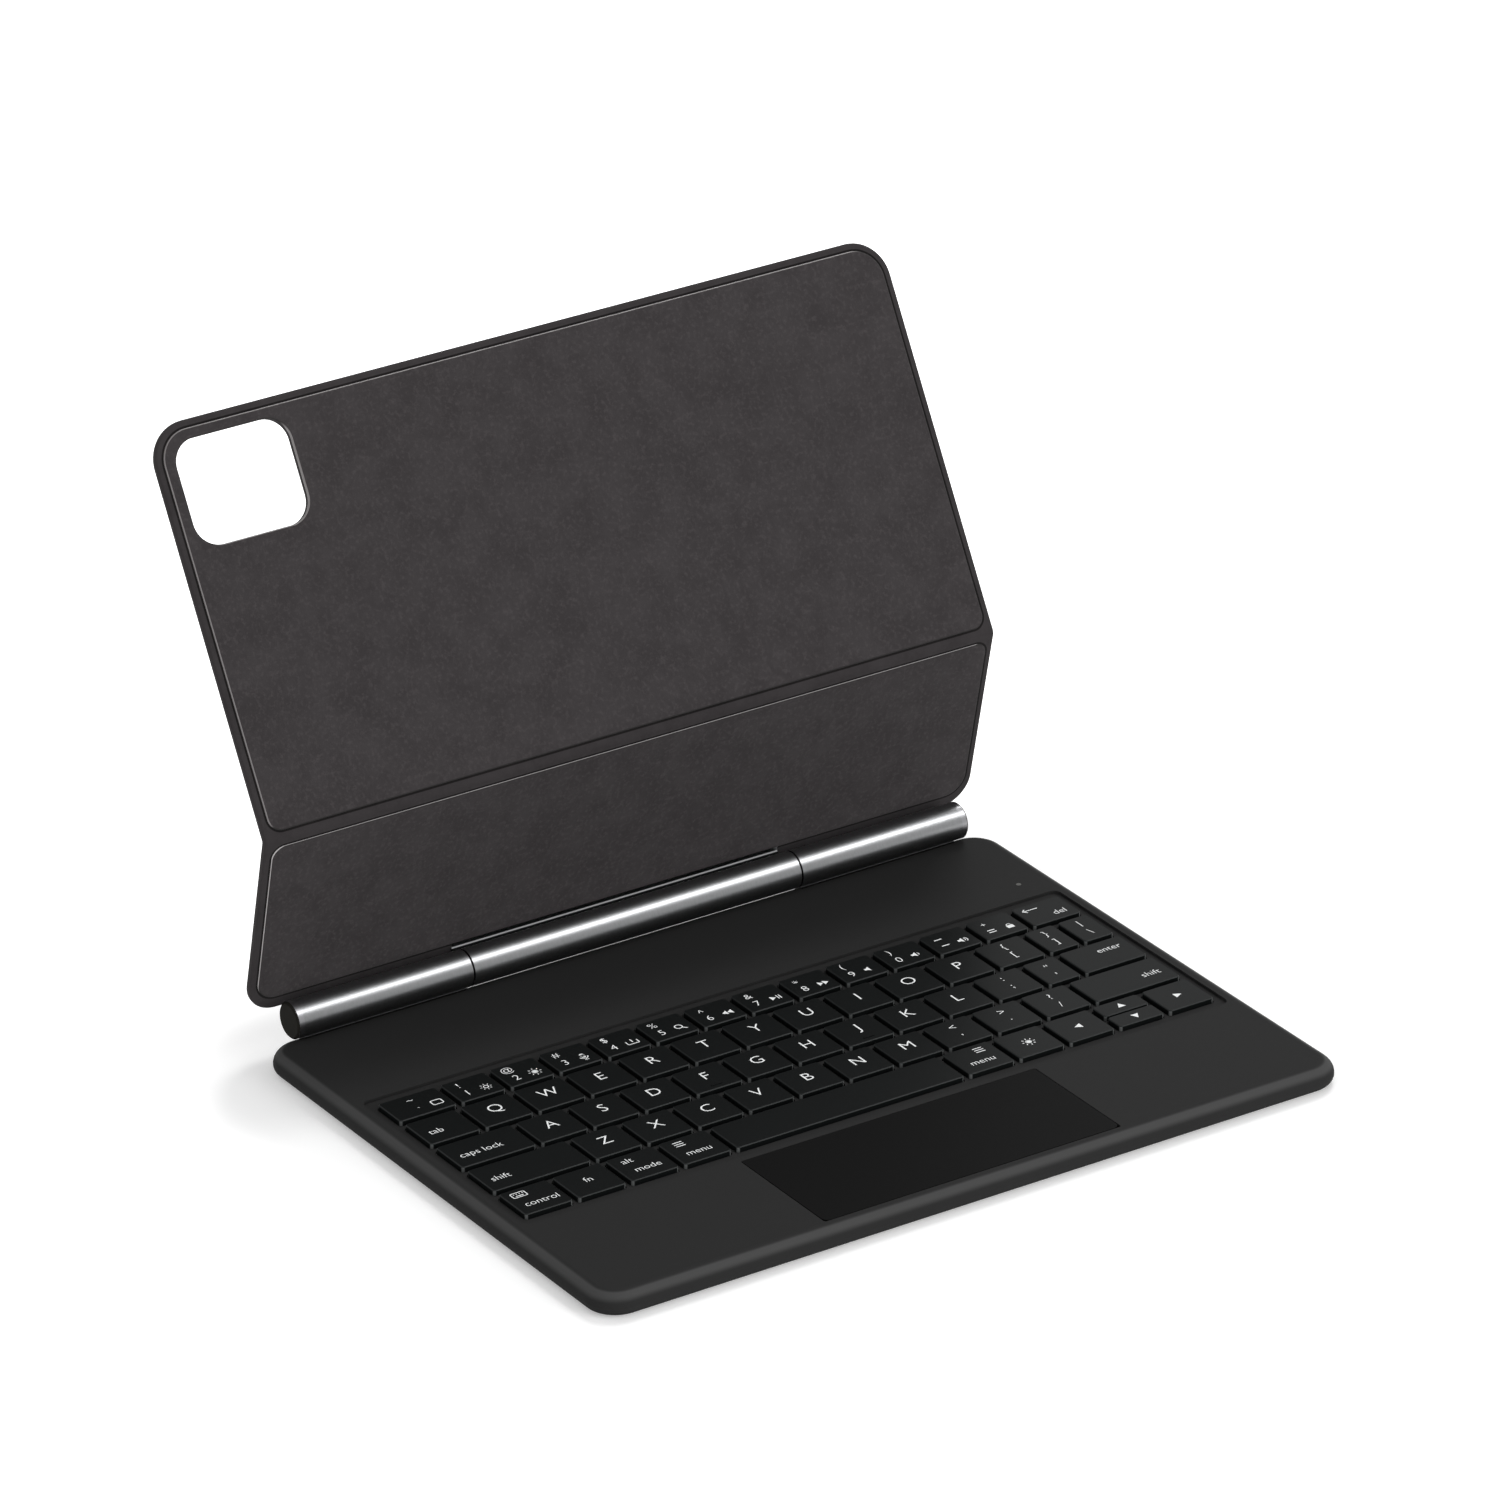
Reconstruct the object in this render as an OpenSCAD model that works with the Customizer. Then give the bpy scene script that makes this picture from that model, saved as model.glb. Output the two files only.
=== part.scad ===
// Keyboard case for a tablet: a thin keyboard base, a hinge tube along its
// rear edge, and a two-leaf folding cover that holds the tablet.
// Millimetres. Origin at the centre of the underside, +Z up, +Y to the rear.

/* [Base] */
// Width of the base, left to right
base_w = 250; // [246:1:300]
// Depth of the base, front to back
base_d = 186; // [184:1:220]
// Thickness of the base
base_t = 7.1; // [6.8:0.1:8]
// Height of the bottom tray, which is also the radius of its lower edge
tray_h = 2.9; // [2.6:0.1:3.1]
// Radius of the base's corners in plan
corner_r = 10; // [8:0.5:16]
// Thickness of the deck beside the recess
deck_t = 1.5; // [1.2:0.1:1.6]
// Thickness of the tray's floor
floor_t = 1; // [0.8:0.1:1.2]
// Width of the side walls where the deck meets the tray
side_wall = 3.5; // [3:0.1:4.5]

/* [Key field] */
// Distance from the base's front edge to the front row of keys
key_front = 54.3; // [54:0.1:58]
// Width of the block of keys
field_w = 233; // [229:1:236]
// Gap between neighbouring keys in a row
key_gap = 1.9; // [1.4:0.1:2.3]
// Gap between rows
row_gap = 2.2; // [1.6:0.1:2.6]
// Front to back depth of a key
key_d = 14.65; // [14:0.05:15]
// Front to back depth of the digit row's keys
digit_d = 12.6; // [11:0.1:13]
// Width of a digit key
digit_w = 14.42; // [14:0.01:14.8]
// Width of the key left of the digits
tick_w = 18.7; // [15:0.1:20]
// Width of an upper-row letter key
upper_w = 15.61; // [15:0.01:16]
// Width of the tab key
tab_w = 16.36; // [14:0.01:18]
// Width of a home-row letter key
home_w = 15.36; // [15:0.01:16]
// Width of the caps lock key
caps_w = 24.36; // [20:0.01:26]
// Width of the quote key
quote_w = 10.97; // [9:0.01:13]
// Width of a lower-row letter key
lower_w = 15.09; // [14.7:0.01:15.6]
// Width of the left shift key
shift_w = 31.98; // [28:0.01:34]
// Width of a modifier key left of the space bar
mod_w = 15.55; // [15:0.01:16]
// Width of the space bar
space_w = 76.7; // [72:0.1:80]
// Radius of a key's corners in plan
key_r = 1; // [0.5:0.1:2]
// Chamfer round the top of a key
key_chamfer = 0.25; // [0.1:0.05:0.4]
// Height of a key's top above the deck
key_rise = 0.6; // [0.2:0.1:1]
// Height of a key from its skirt to its top
key_h = 2.2; // [2:0.1:2.4]
// Thickness of a key's walls and top
key_wall = 0.9; // [0.6:0.1:1]
// How far a key travels when pressed
key_travel = 1; // [0.8:0.1:1.1]
// Clearance round each key in its hole
key_clear = 0.35; // [0.25:0.05:0.45]
// Length of the homing bar on two of the keys
homing_l = 3.6; // [2:0.1:5]

/* [Recess] */
// Depth of the key recess below the deck
recess_depth = 0.9; // [0.5:0.1:1.2]
// Thickness of the web between the keys
web_t = 0.8; // [0.6:0.1:0.9]
// Margin from the keys to the recess's side walls
recess_side = 2.9; // [2:0.1:4]
// Margin from the front keys to the recess's front wall
recess_front = 4; // [3:0.1:4.5]
// Margin from the rear keys to the recess's rear wall
recess_rear = 4.7; // [3:0.1:6]
// Radius of the recess's corners
recess_r = 2.5; // [1:0.1:4]
// Depth from the deck to the sheet that carries the key switches
plate_depth = 3.7; // [3.5:0.1:3.8]
// Thickness of that sheet
plate_t = 0.4; // [0.3:0.05:0.45]
// Thickness of the silicone dome sheet
dome_sheet_t = 0.2; // [0.1:0.05:0.3]

/* [Trackpad] */
// Width of the trackpad
pad_w = 99.2; // [80:0.1:104]
// Depth of the trackpad
pad_d = 42.55; // [36:0.05:43.5]
// Distance from the base's front edge to the trackpad
pad_front = 5.2; // [5:0.1:7]
// Gap round the trackpad
pad_clear = 0.3; // [0.2:0.05:0.5]
// Radius of the trackpad's front corners
pad_r = 2; // [1:0.1:4]
// How far the front of the trackpad moves when clicked
pad_stroke = 0.41; // [0.3:0.01:0.45]

/* [Hinge tube] */
// Outer radius of the tube
tube_r = 5.65; // [5.2:0.05:6.5]
// Whole length of the tube with its end caps
tube_l = 231.5; // [216:0.5:236]
// Half the length of the turning middle of the tube
seam_x = 56.6; // [50:0.1:64]
// Gap at each seam of the tube
seam_gap = 0.6; // [0.3:0.05:0.8]
// How far the tube's axis lies ahead of the base's rear edge
tube_back = 1.1; // [0.5:0.1:2]
// Gap between the tube and the rounded rear edge of the base
tube_gap = 0.33; // [0.3:0.01:1]
// Wall of the tube
tube_wall = 1; // [0.8:0.1:1.4]
// How far an end cap stands out of the metal
cap_proud = 2.3; // [1:0.1:4]
// Radius of the hinge shafts
shaft_r = 1.95; // [1.5:0.05:2.4]
// Running clearance of the shafts in the friction sleeves
shaft_clear = 0.05; // [0.03:0.01:0.1]

/* [Cover] */
// Width of the cover
cover_w = 249.2; // [244:0.1:260]
// Distance along the lower leaf from the tube's axis to the fold
fold_up = 61.5; // [55:0.1:70]
// How far the lower leaf reaches below the tube's axis, along the leaf
leaf_drop = 1.6; // [0:0.1:2.5]
// Length of the upper leaf
upper_l = 122.2; // [115:0.1:160]
// Angle of the lower leaf from the deck
lower_lean = 103.98; // [100:0.01:110]
// Angle of the upper leaf from the deck
upper_lean = 60.81; // [50:0.01:70]
// Gap between the lower leaf's pad and the tube
leaf_gap = 2.15; // [1.8:0.05:3]
// Thickness of the microfibre lining
lining_t = 0.6; // [0.4:0.05:0.8]
// Height of the pads above the lining's edge
pad_t = 0.6; // [0.5:0.05:0.8]
// Distance from a leaf's edge to its pad
pad_in = 1.95; // [1.5:0.05:3]
// Distance from the lower leaf's bottom edge to its pad
pad_low = 4.2; // [3:0.1:6]
// Corner radius at the bottom of the lower pad
pad_low_r = 7.5; // [5:0.5:10]
// Thickness of the stiff board in each leaf
board_t = 1; // [0.8:0.05:1.4]
// Thickness of the back skin
skin_t = 0.8; // [0.6:0.05:1.2]
// Width of the skin's rolled edge round the board
skin_rim = 0.8; // [0.5:0.05:1.2]
// Corner radius at the top of the upper leaf
upper_r = 12; // [8:0.5:16]
// Corner radius at the bottom of the lower leaf
lower_r = 10.5; // [8:0.5:16]
// Gap between the leaves at the fold, from the fold line to each leaf
fold_gap = 0.25; // [0.2:0.05:0.4]
// Bevel of the leaves' ends at the fold
fold_bevel = 30; // [30:1:40]

/* [Camera opening] */
// Distance from the cover's side edge to the opening
cut_side = 6.2; // [5:0.1:10]
// Distance from the cover's top edge to the opening
cut_top = 5.7; // [5:0.1:10]
// Width of the opening
cut_w = 37.4; // [30:0.1:44]
// Height of the opening
cut_h = 31.3; // [26:0.1:40]
// Corner radius of the opening
cut_r = 7.5; // [5:0.1:10]

/* [Inside] */
// Width of the battery
battery_w = 146; // [100:1:150]
// Thickness of the battery
battery_t = 3.4; // [2.5:0.1:3.8]
// Width of the circuit board
board_w = 54; // [44:1:60]
// Thickness of the circuit board
pcb_t = 0.8; // [0.6:0.1:1]
// Height of the circuit board above the tray's floor
board_lift = 1.6; // [1:0.1:1.8]
// Radius of the case screws' shanks
screw_r = 0.8; // [0.6:0.05:1]
// Radius of the posts that take the case screws
post_r = 2.2; // [2:0.1:2.6]
// Radius of the indicator light
led_r = 0.75; // [0.5:0.05:1.2]
// Distance of the indicator light from the base's right edge
led_side = 12.8; // [11:0.1:16]
// Distance of the indicator light behind the rear row of keys
led_back = 13.7; // [12:0.1:18]
// Radius of the holding magnets
magnet_r = 5; // [3:0.5:6]
// Length of a friction sleeve in the tube
sleeve_l = 40; // [30:1:44]
// Distance from the base's side and rear edges to the case screws
screw_in = 9.5; // [8:0.5:11]
// Distance of the middle rear screws from the centre line
rear_screw_x = 42; // [36:1:48]
// Clearance between the parts inside the base and its walls
inner_gap = 1; // [0.5:0.1:1.5]

/* [Hidden] */
$fn = 64;
eps = 0.01;
fit = 0.1;
half_w = base_w / 2;
half_field = field_w / 2;
deck_z = base_t;
deck_r = base_t - tray_h;
inner_r = corner_r - side_wall;
ceiling_z = deck_z - deck_t;
recess_z = deck_z - recess_depth;
web_z = recess_z - web_t;
plate_z = deck_z - plate_depth;
dome_top = web_z - key_travel;
key_z = deck_z + key_rise - key_h;

// Rows of keys, front to back: [front edge, depth, name, key widths].
// The last width of a row is what is left of the block of keys.
row_pitch = key_d + row_gap;
function row_y(i) = key_front + i * row_pitch;
function repeat(v, n) = [for (i = [1 : n]) v];
function sum(v, i = 0) = i < len(v) ? v[i] + sum(v, i + 1) : 0;
function rest_of(v, n = 1) = (field_w - sum(v) - len(v) * key_gap - (n - 1) * key_gap) / n;
digit_start = concat([tick_w], repeat(digit_w, 12));
upper_start = concat([tab_w], repeat(upper_w, 11));
home_start = concat([caps_w], repeat(home_w, 10), [quote_w]);
lower_start = concat([shift_w], repeat(lower_w, 10));
front_start = concat(repeat(mod_w, 4), [space_w]);
digit_widths = concat(digit_start, [rest_of(digit_start)]);
upper_widths = concat(upper_start, repeat(rest_of(upper_start, 2), 2));
home_widths = concat(home_start, [rest_of(home_start)]);
lower_widths = concat(lower_start, [rest_of(lower_start)]);
front_widths = concat(front_start, repeat(rest_of(front_start, 5), 5));
digits = ["1", "2", "3", "4", "5", "6", "7", "8", "9", "0"];
digit_names = concat(["tick"], digits, ["minus", "equals", "delete"]);
upper_names = ["tab", "q", "w", "e", "r", "t", "y", "u", "i", "o", "p", "open", "close", "slash_back"];
home_names = ["caps", "a", "s", "d", "f", "g", "h", "j", "k", "l", "colon", "quote", "enter"];
lower_names = ["shift", "z", "x", "c", "v", "b", "n", "m", "comma", "stop", "slash", "shift_right"];
front_names = ["mod_1", "mod_2", "mod_3", "mod_4", "space", "mod_5", "light", "left", "up_down", "right"];
rows = [
    [row_y(0), key_d, front_names, front_widths],
    [row_y(1), key_d, lower_names, lower_widths],
    [row_y(2), key_d, home_names, home_widths],
    [row_y(3), key_d, upper_names, upper_widths],
    [row_y(4), digit_d, digit_names, digit_widths]
];
function key_x(widths, i) = i == 0 ? -half_field : key_x(widths, i - 1) + widths[i - 1] + key_gap;
// Every key position: [name, left, front, width, depth]
cells = [for (r = rows, i = [0 : len(r[2]) - 1]) [r[2][i], key_x(r[3], i), r[0], r[3][i], r[1]]];
// The up and down arrows share one position, split front to back
half_key = (key_d - key_gap / 2) / 2;
function split(c) = c[0] != "up_down" ? [c] : [
    ["down", c[1], c[2], c[3], half_key],
    ["up", c[1], c[2] + half_key + key_gap / 2, c[3], half_key]
];
keys = [for (c = cells, k = split(c)) k];
function member(v, list) = len([for (a = list) if (a == v) a]) > 0;
field_rear = row_y(4) + digit_d;

letters = ["a", "b", "c", "d", "e", "f", "g", "h", "i", "j", "k", "l", "m",
    "n", "o", "p", "q", "r", "s", "t", "u", "v", "w", "x", "y", "z"];
wide_keys = ["tab", "caps", "enter", "delete", "space"];
single_keys = concat(letters, wide_keys);
digit_keys = concat(["tick"], digits, ["minus", "equals"]);
mark_keys = ["open", "close", "slash_back", "colon", "quote", "comma", "stop", "slash"];
modifier_keys = ["shift", "shift_right", "mod_1", "mod_2", "mod_3", "mod_4", "mod_5", "light"];
arrow_keys = ["left", "down", "up", "right"];

tray_box = [-half_w + side_wall, side_wall, half_w - side_wall, base_d - side_wall];

// Recess and the bay below it
recess_box = [-half_field - recess_side, key_front - recess_front,
    half_field + recess_side, field_rear + recess_rear];
bay_margin = 1;
bay_box = [-half_field - bay_margin, key_front - bay_margin,
    half_field + bay_margin, field_rear + bay_margin];
plate_lap = 1.5;
plate_box = [bay_box[0] - plate_lap, bay_box[1] - plate_lap,
    bay_box[2] + plate_lap, bay_box[3] + plate_lap];

// Trackpad
pad_rear = pad_front + pad_d;
pad_box = [-pad_w / 2, pad_front, pad_w / 2, pad_rear];
front_bay = [-half_w + side_wall, side_wall, half_w - side_wall, pad_rear + pad_clear];

// Hinge tube: it nests above the rounded rear edge
foot_in = 3.7;
foot_wall = 1.8;
foot_depth = 2.6;
foot_inset = 0.9;
lip = 0.55;
rim_keep = 0.45;
axis_y = base_d - tube_back;
nest = deck_r + tube_r + tube_gap;
axis_z = tray_h + sqrt(nest * nest - pow(deck_r - tube_back, 2));
metal_end = tube_l / 2 - cap_proud;
foot_start = seam_x + seam_gap / 2 + foot_inset;
foot_l = metal_end - foot_start - foot_inset - rim_keep;
bore_r = tube_r - tube_wall;
sleeve_r = bore_r - shaft_clear;
end_wall = 2;
shaft_in = 18;
rear_bay = [-half_w + side_wall, plate_box[3] + foot_wall,
    half_w - side_wall, base_d - foot_in - foot_wall];

// Cover
leaf_off = tube_r + leaf_gap + pad_t;
leaf_t = lining_t + board_t + skin_t;
lower_l = fold_up + leaf_drop;
fold_y = axis_y + fold_up * cos(lower_lean) + leaf_off * sin(lower_lean);
fold_z = axis_z + fold_up * sin(lower_lean) - leaf_off * cos(lower_lean);
pad_fold_r = 3.5;
cut_x = -cover_w / 2 + cut_side;
cut_y = upper_l - cut_top - cut_h;
tab_proud = 0.05;
tab_t = lining_t;
tab_low = -0.2;
tab_l = 11;
tab_thick = 1.6;
tab_slope = 0.9;
rivet_r = tab_l / 11;
rivet_pitch = seam_x / 3;
rivet_x = [for (i = [-2.5 : 1 : 2.5]) i * rivet_pitch];
rivet_y = tab_low + tab_l / 2 + rivet_r;
magnet_t = 0.8;
magnet_x = [-100, -60, -20, 20, 60, 100];
magnet_y = [24, 66];
led_gap = 0.05;
led_sink = 0.4;
led_x = half_w - led_side;
led_y = field_rear + led_back;

// Parts in the bay behind the keys
bay_front = rear_bay[1] + inner_gap;
bay_depth = base_d - screw_in - post_r - inner_gap - bay_front;
battery_left = rear_bay[0] + 7 * inner_gap;
board_left = led_x + 2 * led_r - board_w;
foot_gap = 3;
board_foot_r = 1.5;

screw_beside = 6.4;
screw_ahead = 3;
screw_places = [
    [-half_w + screw_in, screw_in], [half_w - screw_in, screw_in],
    [-pad_w / 2 - screw_beside, pad_rear - screw_ahead],
    [pad_w / 2 + screw_beside, pad_rear - screw_ahead],
    [-half_w + screw_in, base_d - screw_in], [half_w - screw_in, base_d - screw_in],
    [-rear_screw_x, base_d - screw_in], [rear_screw_x, base_d - screw_in]
];

// ---- shared shapes ----

// Places its children in the model's frame, from the base's front edge
module placed() {
    translate([0, -base_d / 2, 0]) children();
}

// Rectangle between two corners, with rounded corners
module box_2d(b, r) {
    w = b[2] - b[0];
    d = b[3] - b[1];
    translate([b[0], b[1]]) {
        translate([r, 0]) square([w - 2 * r, d]);
        translate([0, r]) square([w, d - 2 * r]);
        for (x = [r, w - r], y = [r, d - r]) {
            translate([x, y]) circle(r = r, $fn = 48);
        }
    }
}

module pocket(b, r, z, h) {
    translate([0, 0, z]) linear_extrude(h) box_2d(b, r);
}

function key_box(k) = [k[1], k[2], k[1] + k[3], k[2] + k[4]];

function grown(b, m) = [b[0] - m, b[1] - m, b[2] + m, b[3] + m];

// Half of the profile of a slab's edge: flat, then a quarter round
module round_end(x, r) {
    square([x - r, r]);
    intersection() {
        translate([x - r, 0]) circle(r = r, $fn = 96);
        translate([x - r, 0]) square([r, r]);
    }
}

// Slab with its base at z = 0, whose upper edge is a quarter round all round
module round_slab(w, d, c, r) {
    x = w / 2 - c;
    y = d / 2 - c;
    translate([0, d / 2, 0]) {
        translate([-x, -y, 0]) cube([2 * x, 2 * y, r]);
        for (s = [0, 1]) {
            translate([s == 0 ? x : -x, y, 0]) rotate([90, 0, 0]) {
                linear_extrude(2 * y) mirror([s, 0]) round_end(c, r);
            }
            translate([-x, s == 0 ? y : -y, 0]) rotate([90, 0, 90]) {
                linear_extrude(2 * x) mirror([s, 0]) round_end(c, r);
            }
        }
        for (q = [[x, -y, -90], [x, y, 0], [-x, y, 90], [-x, -y, 180]]) {
            translate([q[0], q[1], 0]) rotate([0, 0, q[2]]) {
                rotate_extrude(angle = 90, $fn = 96) round_end(c, r);
            }
        }
    }
}

// ---- base ----

module deck_body() {
    translate([0, 0, tray_h]) round_slab(base_w, base_d, corner_r, deck_r);
}

module foot_notch(side) {
    x0 = side > 0 ? foot_start - fit : -foot_start - foot_l - fit;
    translate([x0, base_d - foot_in, deck_z - foot_depth]) {
        cube([foot_l + 2 * fit, foot_in + 1, foot_depth + 1]);
    }
}

stud_r = 0.7;
stud_l = 1.2;
stud_y = base_d - foot_in / 2 - 0.2;
stud_x = [for (f = [0.24, 0.77]) seam_x + f * (metal_end - seam_x)];

module stud_holes() {
    for (s = [-1, 1], x = stud_x) {
        translate([s * x, stud_y, deck_z - foot_depth - stud_l - fit]) {
            cylinder(h = stud_l + fit + 1, r = stud_r + fit / 2);
        }
    }
}

module deck_shell() {
    color("#2f2f2f") placed() difference() {
        union() {
            difference() {
                deck_body();
                pocket(front_bay, 1, -1, ceiling_z + 1);
                pocket(rear_bay, inner_r / 2, -1, ceiling_z + 1);
            }
            for (p = screw_places) {
                translate([p[0], p[1], floor_t]) cylinder(h = ceiling_z - floor_t + eps, r = post_r);
            }
        }
        pocket(bay_box, 1, -1, web_z + 1);
        pocket(grown(plate_box, fit), 1, -1, plate_z + 1);
        pocket(recess_box, recess_r, recess_z, recess_depth + 1);
        for (k = keys) pocket(grown(key_box(k), key_clear), key_r + key_clear, web_z - 1, web_t + 2);
        pocket(grown(pad_box, pad_clear), pad_clear + 0.4, ceiling_z - 1, deck_t + 2);
        for (p = screw_places) translate([p[0], p[1], -1]) cylinder(h = 1 + screw_l + 2 * fit, r = screw_r);
        translate([led_x, led_y, ceiling_z - 1]) cylinder(h = deck_t + 2, r = led_r + led_gap);
        for (s = [-1, 1]) foot_notch(s);
        stud_holes();
    }
}

module bottom_cover() {
    color("#2b2b2b") placed() difference() {
        union() {
            difference() {
                translate([0, 0, tray_h]) mirror([0, 0, 1]) round_slab(base_w, base_d, corner_r, tray_h);
                pocket(tray_box, inner_r, floor_t, tray_h);
            }
            for (x = [foot_gap, board_w - foot_gap], y = [foot_gap, bay_depth - foot_gap]) {
                translate([board_left + x, bay_front + y, 0]) {
                    cylinder(h = floor_t + board_lift, r = board_foot_r);
                }
            }
        }
        for (p = screw_places) {
            translate([p[0], p[1], -1]) cylinder(h = floor_t + 2, r = screw_r + fit);
            translate([p[0], p[1], -eps]) cylinder(h = head_h + eps, r1 = head_r + fit, r2 = screw_r + fit);
        }
    }
}

head_r = 2 * screw_r;
head_h = 0.7 * floor_t;
screw_l = tray_h + deck_r / 4;
drive_r = 0.75 * screw_r;
drive_h = 0.5 * floor_t;

// Countersunk screws that hold the tray to the deck's posts
module case_screws() {
    color("#8a8a8a") placed() for (p = screw_places) translate([p[0], p[1], 0.05]) difference() {
        union() {
            cylinder(h = head_h, r1 = head_r, r2 = screw_r - fit / 2);
            cylinder(h = screw_l, r = screw_r - fit / 2);
        }
        translate([0, 0, -eps]) cylinder(h = drive_h, r = drive_r, $fn = 6);
    }
}

module key_plate() {
    color("#9a9c9e") placed() pocket(plate_box, 1, plate_z - plate_t, plate_t);
}

// Silicone sheet with a dome below each key
module dome_sheet() {
    dome_h = dome_top - plate_z - dome_sheet_t;
    color("#d9d9d6") placed() {
        pocket(grown(bay_box, -0.5), 1, plate_z, dome_sheet_t);
        for (k = keys) {
            translate([k[1] + k[3] / 2, k[2] + k[4] / 2, plate_z + dome_sheet_t - eps]) {
                cylinder(h = dome_h + eps, r1 = 2.8, r2 = 1.6, $fn = 32);
            }
        }
    }
}

// Board with two chips and the light's source
module circuit_board() {
    top = floor_t + board_lift + pcb_t;
    chip = 0.18 * board_w;
    chip_t = 1.1 * pcb_t;
    color("#1d5a3a") placed() {
        translate([board_left, bay_front, floor_t + board_lift]) cube([board_w, bay_depth, pcb_t]);
        translate([board_left + chip, bay_front + 2, top - eps]) cube([chip, chip, chip_t + eps]);
        translate([board_left + 3 * chip, bay_front + 3, top - eps]) {
            cube([0.7 * chip, 0.6 * chip, chip_t + eps]);
        }
        translate([led_x - led_r, led_y - led_r, top - eps]) {
            cube([2 * led_r, 2 * led_r, ceiling_z - led_sink - led_gap - top + eps]);
        }
    }
}

// Light pipe from the board to the deck's surface
module led_lens() {
    color("#f2f2ee") placed() translate([led_x, led_y, ceiling_z - led_sink]) {
        cylinder(h = deck_t + led_sink, r = led_r);
    }
}

module battery_cell() {
    color("#6d7378") placed() {
        b = [battery_left, bay_front, battery_left + battery_w, bay_front + bay_depth];
        pocket(b, 1, floor_t, battery_t);
    }
}

// Leaf springs that hold the rear edge of the trackpad
module trackpad_flexure() {
    strip_t = 0.2 * deck_t;
    strip_w = 0.22 * pad_w;
    strip_d = 0.08 * pad_d;
    color("#a8abad") placed() for (x = [-pad_w / 3, pad_w / 3 - strip_w]) {
        translate([x, pad_rear - strip_d, ceiling_z - 2 * strip_t]) {
            cube([strip_w, strip_d + pad_clear, strip_t]);
        }
    }
}

// Click switch on its block, under the front of the trackpad
module trackpad_switch() {
    top = ceiling_z - pad_stroke;
    color("#b9bcbe") placed() translate([0, pad_front + 5, 0]) {
        translate([-6, 0, floor_t]) cube([12, 8, 1.6]);
        translate([-3, 1, floor_t]) cube([6, 6, top - floor_t - 0.8]);
        translate([0, 4, floor_t]) cylinder(h = top - floor_t, r = 1.2);
    }
}

// Flush plate with rounded front corners
module trackpad_plate() {
    color("#1e1e1e") placed() translate([0, pad_front, ceiling_z]) linear_extrude(deck_t) {
        translate([-pad_w / 2, pad_r]) square([pad_w, pad_d - pad_r]);
        translate([-pad_w / 2 + pad_r, 0]) square([pad_w - 2 * pad_r, pad_d]);
        for (s = [-1, 1]) translate([s * (pad_w / 2 - pad_r), pad_r]) circle(r = pad_r);
    }
}

// ---- hinge tube ----

// Turns +Z to +X, with the origin on the tube's axis
module on_axis() {
    translate([0, axis_y, axis_z]) rotate([0, 90, 0]) children();
}

// The fixed end of the tube, with the foot that joins it to the deck
module barrel(side) {
    x0 = seam_x + seam_gap / 2;
    foot_x = side > 0 ? foot_start : -foot_start - foot_l;
    z0 = side > 0 ? x0 : -metal_end;
    difference() {
        union() {
            on_axis() translate([0, 0, z0]) cylinder(h = metal_end - x0, r = tube_r, $fn = 96);
            translate([foot_x, base_d - foot_in, deck_z - foot_depth]) {
                cube([foot_l, foot_in - 0.4, axis_z - deck_z + foot_depth]);
            }
            translate([foot_x, base_d - foot_in, deck_z]) rotate([90, 0, 90]) linear_extrude(foot_l) {
                polygon([[-lip, 0], [eps, 0], [eps, lip]]);
            }
            for (x = stud_x) {
                translate([side * x, stud_y, deck_z - foot_depth - stud_l]) {
                    cylinder(h = stud_l + 1, r = stud_r);
                }
            }
        }
        on_axis() {
            translate([0, 0, side > 0 ? x0 + end_wall : -metal_end - 1]) {
                cylinder(h = metal_end - x0 - end_wall + 1, r = bore_r, $fn = 96);
            }
            translate([0, 0, side > 0 ? x0 - 1 : -x0 - end_wall - 1]) {
                cylinder(h = end_wall + 2, r = shaft_r + 0.35);
            }
        }
    }
}

module left_barrel() {
    color("#4a4a4c") placed() barrel(-1);
}

module right_barrel() {
    color("#4a4a4c") placed() barrel(1);
}

// Plugs with a chamfered rim that close the ends of the tube
module end_caps() {
    rim = 0.6;
    plug = 4;
    color("#22211e") placed() for (s = [-1, 1]) on_axis() mirror([0, 0, s < 0 ? 1 : 0]) {
        translate([0, 0, metal_end - plug]) cylinder(h = plug + 0.5, r = bore_r - shaft_clear, $fn = 96);
        translate([0, 0, metal_end]) cylinder(h = cap_proud - rim, r = tube_r, $fn = 96);
        translate([0, 0, metal_end + cap_proud - rim - eps]) {
            cylinder(h = rim + eps, r1 = tube_r, r2 = tube_r - rim, $fn = 96);
        }
    }
}

// Sleeves that grip the shafts, so the cover stays where it is put
module friction_sleeves() {
    color("#c9b37a") placed() for (s = [-1, 1]) on_axis() mirror([0, 0, s < 0 ? 1 : 0]) {
        translate([0, 0, seam_x + seam_gap / 2 + end_wall + fit]) difference() {
            cylinder(h = sleeve_l, r = sleeve_r, $fn = 96);
            translate([0, 0, -1]) cylinder(h = sleeve_l + 2, r = shaft_r + shaft_clear);
        }
    }
}

module hinge_shafts() {
    l = shaft_in + seam_gap + end_wall + sleeve_l - 4;
    color("#b4b6b8") placed() for (s = [-1, 1]) on_axis() mirror([0, 0, s < 0 ? 1 : 0]) {
        translate([0, 0, seam_x - shaft_in]) cylinder(h = l, r = shaft_r);
    }
}

// Frame of the lower leaf: origin on the tube's axis, +Y up the leaf
module on_leaf() {
    translate([0, axis_y, axis_z]) rotate([lower_lean, 0, 0]) children();
}

// Section of the bracket: a tab flush with the lining and a web down to the tube
function tab_profile() = [
    [0, -tab_t], [tab_l, -tab_t], [tab_l, tab_proud], [tab_thick, tab_proud],
    [tab_thick - tab_slope, tab_proud + tab_slope],
    [tab_thick - tab_slope, leaf_off - bore_r - 0.2], [0, leaf_off - bore_r - 0.2]
];

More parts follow.
